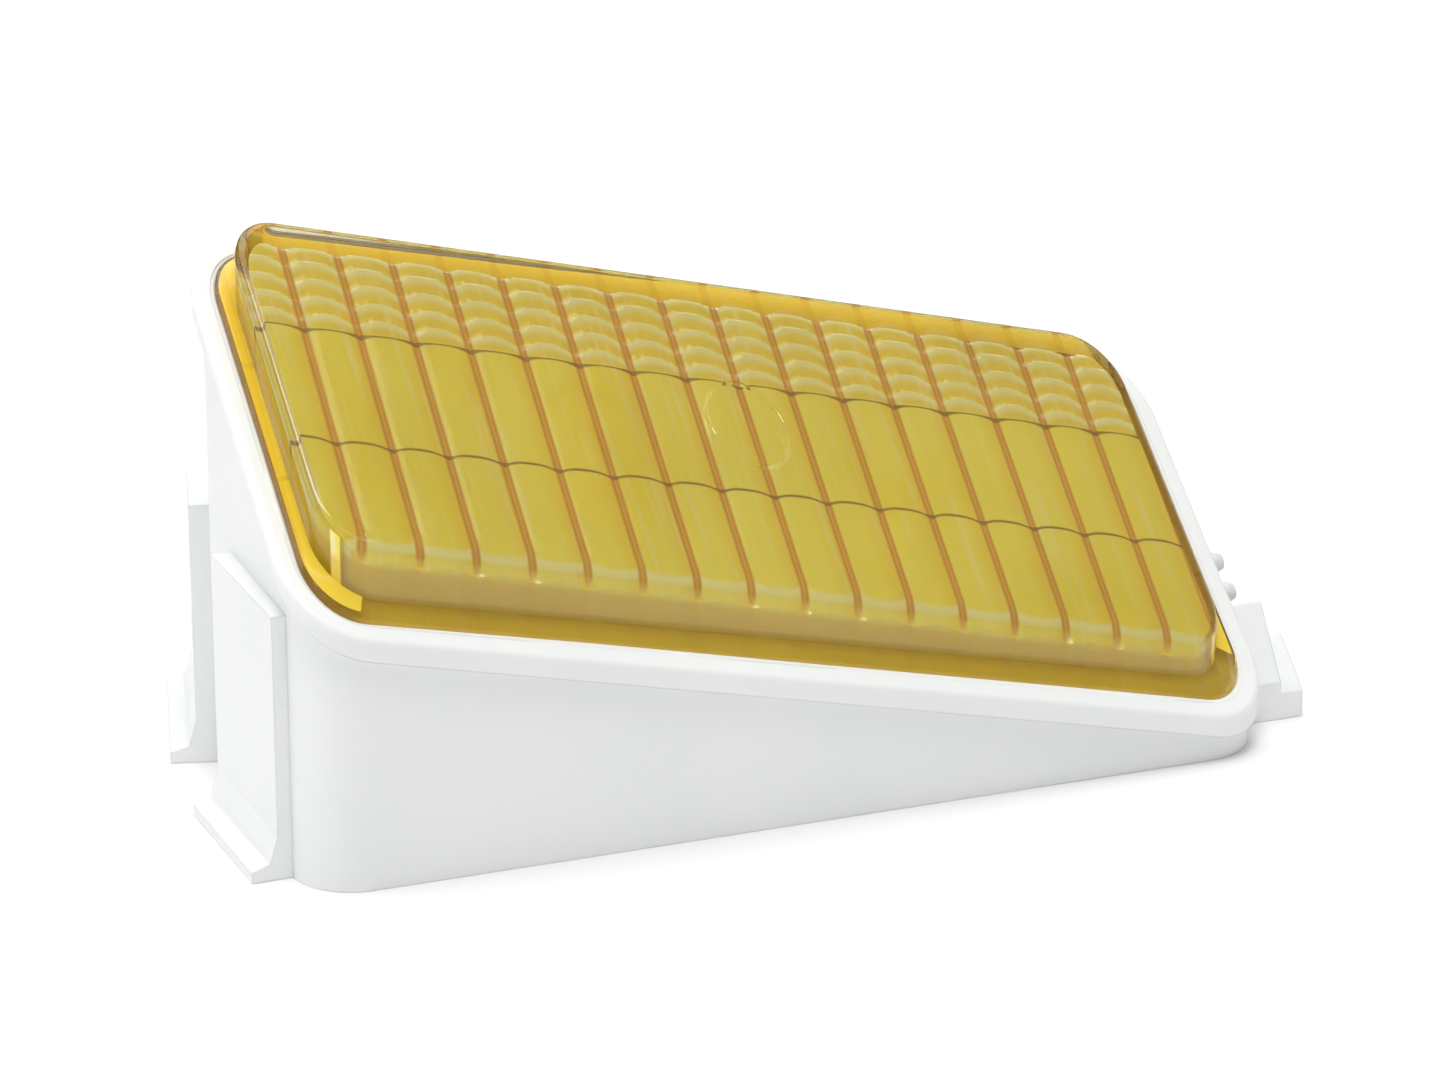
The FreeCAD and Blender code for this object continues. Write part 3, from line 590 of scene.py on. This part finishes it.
@dataclass
class PressedLens:
    """The pressed amber glass: a flange, a raised face, and flutes and prism bands inside."""

    flange_half: tuple[float, float] = (95.4 * MM, 33.9 * MM)
    flange_corner: float = 10.0 * MM
    flange_low: float = -2.6 * MM
    flange_top: float = 1.0 * MM
    face_half: tuple[float, float] = (92.2 * MM, 30.7 * MM)
    face_corner: float = 10.0 * MM
    thickness: float = 3.2 * MM
    side: float = 2.2 * MM
    flute_rise: float = 0.5 * MM
    band_step: float = 0.7 * MM
    arc_step: float = 0.35 * MM
    end_radius: float = 2.2 * MM
    ring_place: tuple[float, float] = (2.9 * MM, 1.5 * MM)
    ring_radius: float = 8.0 * MM
    ring_thick: float = 0.35 * MM

    def ceiling(self, x: np.ndarray, y: np.ndarray) -> np.ndarray:
        """The inside face's height above the lens plane.

        Args:
            x: Places along the lens.
            y: Places across the lens.

        Returns:
            The heights.
        """
        cell = (x - FLUTES.lean * y - FLUTES.first_ridge) / FLUTES.pitch
        phase = 2.0 * (cell - np.floor(cell)) - 1.0
        height = FLUTES.face_top + FLUTES.face_fall * x - self.thickness
        height = height + self.flute_rise * (1.0 - phase ** 2)
        near, far = -self.face_half[1] + self.side, self.face_half[1] - self.side
        edges = [near, *FLUTES.bands, far]
        for low, high in zip(edges, edges[1:]):
            inside = (y >= low) & (y < high)
            height -= np.where(inside, self.band_step * (high - y) / (high - low), 0.0)
        bowed = y + FLUTES.arc_bend * phase ** 2
        arcs = (bowed - FLUTES.bands[1]) / FLUTES.arc_pitch
        height -= np.where(y > FLUTES.bands[1], self.arc_step * (1.0 - (arcs - np.floor(arcs))), 0.0)
        radius = self.end_radius
        bow = FLUTES.end_bow * (1.0 - np.sqrt(np.clip(1.0 - phase ** 2, 0.0, 1.0)))
        for gap in (y - near - bow, far - y - bow * 0.3):
            reach = np.clip(radius - gap, 0.0, radius)
            height -= radius - np.sqrt(radius ** 2 - reach ** 2)
        return height

    def hollow(self) -> bpy.types.Object:
        """The solid that presses the inside face."""
        half_x, half_y = (value - self.side for value in self.face_half)
        Bench.clear()
        bpy.ops.mesh.primitive_grid_add(x_subdivisions=288, y_subdivisions=110, size=2.0)
        press = bpy.context.object
        press.scale = (half_x + 1.0 * MM, half_y + 1.0 * MM, 1.0)
        bpy.ops.object.transform_apply(scale=True)
        points = np.empty(len(press.data.vertices) * 3)
        press.data.vertices.foreach_get("co", points)
        points = points.reshape(-1, 3)
        points[:, 2] = self.ceiling(points[:, 0], points[:, 1])
        press.data.vertices.foreach_set("co", points.ravel())
        Bench.edit(press)
        bpy.ops.mesh.extrude_region_move(TRANSFORM_OT_translate={"value": (0.0, 0.0, -30.0 * MM)})
        Bench.settle(press)
        corner = self.face_corner - self.side
        block = Bench.rounded("pocket", (half_x, half_y), corner, -10.0 * MM, 20.0 * MM)
        Bench.combine(press, block, "INTERSECT")
        return press

    def build(self) -> None:
        """Models the glass."""
        glass = Bench.rounded("lens_pressed_glass", self.face_half, self.face_corner, self.flange_low,
                              FLUTES.face_top, 16)
        for vertex in glass.data.vertices:
            if vertex.co.z > 0.0:
                vertex.co.z += FLUTES.face_fall * vertex.co.x
        Bench.bevel(glass, 2.0 * MM, 6)
        flange = Bench.rounded("flange", self.flange_half, self.flange_corner, self.flange_low,
                               self.flange_top, 16)
        Bench.bevel(flange, 0.8 * MM, 3)
        Bench.combine(glass, flange, "UNION")
        Bench.clear()
        bpy.ops.mesh.primitive_torus_add(
            location=(*self.ring_place, FLUTES.face_top), major_segments=72, minor_segments=10,
            major_radius=self.ring_radius, minor_radius=self.ring_thick)
        Bench.combine(glass, bpy.context.object, "UNION")
        Bench.combine(glass, self.hollow())
        inside = self.inner_faces(glass)
        PLANE.lay(glass)
        Bench.finish(glass, Finish.AMBER, "housing", "amber_glass", "lens_glass", smooth=24.0)
        glass.data.materials.append(Finish.FLUTED.material())
        glass.data.polygons.foreach_set("material_index", inside)

    def inner_faces(self, glass: bpy.types.Object) -> np.ndarray:
        """Finds the faces of the pressed inside and of the flange's underside.

        Args:
            glass: The glass, still flat.

        Returns:
            1 for each such face and 0 for the others.
        """
        middles = np.empty(len(glass.data.polygons) * 3)
        glass.data.polygons.foreach_get("center", middles)
        x, y, z = middles.reshape(-1, 3).T
        reach = [half - self.side + 0.1 * MM for half in self.face_half]
        pocket = (np.abs(x) < reach[0]) & (np.abs(y) < reach[1])
        pocket &= z < FLUTES.face_top + FLUTES.face_fall * x - 1.5 * MM
        return (pocket | (z < self.flange_low + 0.1 * MM)).astype(np.int32)


@dataclass
class Sealant:
    """The white bead between the glass and the lip, a little uneven as it was squeezed out."""

    half: tuple[float, float] = (96.0 * MM, 34.6 * MM)
    corner: float = 10.6 * MM
    radius: float = 0.9 * MM
    waviness: float = 0.35 * MM
    seed: int = 7

    def build(self) -> None:
        """Models the bead."""
        bead = Bench.rounded("sealant_bead", self.half, self.corner, -1.0 * MM, -0.9 * MM, 10)
        Bench.edit(bead)
        bpy.ops.mesh.select_all(action="DESELECT")
        bpy.ops.object.mode_set(mode="OBJECT")
        for face in bead.data.polygons:
            face.select = face.normal.z < 0.5
        bpy.ops.object.mode_set(mode="EDIT")
        bpy.ops.mesh.delete(type="ONLY_FACE")
        bpy.ops.mesh.select_all(action="DESELECT")
        bpy.ops.object.mode_set(mode="OBJECT")
        for vertex in bead.data.vertices:
            vertex.select = vertex.co.z < -0.95 * MM
        bpy.ops.object.mode_set(mode="EDIT")
        bpy.ops.mesh.delete(type="VERT")
        bpy.ops.mesh.select_all(action="SELECT")
        bpy.ops.mesh.delete(type="ONLY_FACE")
        bpy.ops.mesh.select_all(action="SELECT")
        bpy.ops.mesh.subdivide(number_cuts=3)
        bpy.ops.object.mode_set(mode="OBJECT")
        bpy.ops.object.convert(target="CURVE")
        bead.data.bevel_depth = self.radius
        bead.data.bevel_resolution = 3
        bpy.ops.object.convert(target="MESH")
        noise.seed_set(self.seed)
        for vertex in bead.data.vertices:
            vertex.co += noise.noise_vector(vertex.co * 60.0) * self.waviness
        Bench.settle(bead)
        PLANE.lay(bead)
        Bench.finish(bead, Finish.SEALANT, "housing", "sealant", "lens_seal", smooth=60.0)


class Frame:
    """The CAD nodes that stay."""

    def dress(self) -> None:
        """Gives each kept node its finish."""
        for name, finish in CAD_FINISHES.items():
            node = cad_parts[name]
            node.data.materials.clear()
            node.data.materials.append(finish.material())
            log.info("%s: %s", name, finish.value.name)


@dataclass(frozen=True)
class SoftLight:
    """A soft light that faces the lamp."""

    name: str
    place: tuple[float, float, float]
    width: float
    power: float
    depth: float

    def hang(self) -> None:
        """Adds the light."""
        data = bpy.data.lights.new(self.name, "AREA")
        data.shape = "RECTANGLE"
        data.size = self.width
        data.size_y = self.depth
        data.energy = self.power
        light = bpy.data.objects.new(self.name, data)
        light.location = self.place
        light.rotation_euler = (-Vector(self.place)).to_track_quat("-Z", "Y").to_euler()
        bpy.context.collection.objects.link(light)


@dataclass
class Studio:
    """Plain pale floor, soft light and the camera."""

    eye: tuple[float, float, float] = (-368.67 * MM, -946.37 * MM, 429.5 * MM)
    towards: tuple[float, float, float] = (0.3371, 0.8723, -0.3542)
    lens: float = 140.24
    sensor: float = 36.0
    daylight: float = 0.36
    lights: tuple[SoftLight, ...] = (
        SoftLight("key", (-1.6, 0.3, 1.3), 1.2, 10.0, 1.2),
        SoftLight("top", (0.1, 0.6, 1.8), 1.5, 17.0, 1.5),
        SoftLight("over_glass", (-0.15, -0.4, 1.9), 0.7, 14.0, 0.7),
        SoftLight("strip", (-0.1, -0.9, 1.25), 1.6, 1.6, 0.02),
    )

    def floor(self) -> None:
        """Adds the floor."""
        Bench.clear()
        bpy.ops.mesh.primitive_plane_add(size=8.0, location=(0.0, 0.0, -0.02 * MM))
        floor = bpy.context.object
        floor.name = "floor"
        bpy.ops.object.transform_apply(location=True)
        board = Board("pale_floor", Roughness=0.9)
        clouds = board.grain(3.0).within(0.3, 0.7)
        board.feed(Base_Color=board.tint(clouds, (0.92, 0.92, 0.92), (0.93, 0.93, 0.93)))
        floor.data.materials.append(board.material)

    def sky(self) -> None:
        """Adds even white light from all round."""
        world = bpy.data.worlds.new("studio")
        world.use_nodes = True
        background = world.node_tree.nodes["Background"]
        background.inputs["Color"].default_value = (1.0, 1.0, 1.0, 1.0)
        background.inputs["Strength"].default_value = self.daylight
        bpy.context.scene.world = world
        bpy.context.scene.view_settings.view_transform = "Standard"

    def camera(self) -> None:
        """Adds the camera."""
        data = bpy.data.cameras.new("camera")
        data.lens = self.lens
        data.sensor_width = self.sensor
        camera = bpy.data.objects.new("camera", data)
        camera.location = self.eye
        camera.rotation_euler = Vector(self.towards).to_track_quat("-Z", "Y").to_euler()
        bpy.context.collection.objects.link(camera)
        bpy.context.scene.camera = camera

    def build(self) -> None:
        """Sets up the floor, the lights and the camera."""
        self.floor()
        for light in self.lights:
            light.hang()
        self.sky()
        self.camera()


def main() -> None:
    """Builds the pieces in order."""
    logging.basicConfig(level=logging.INFO, format="%(name)s %(message)s")
    Studio().build()
    Frame().dress()
    for piece in (PressedLens(), Sealant()):
        piece.build()


if __name__ == "__main__":
    main()
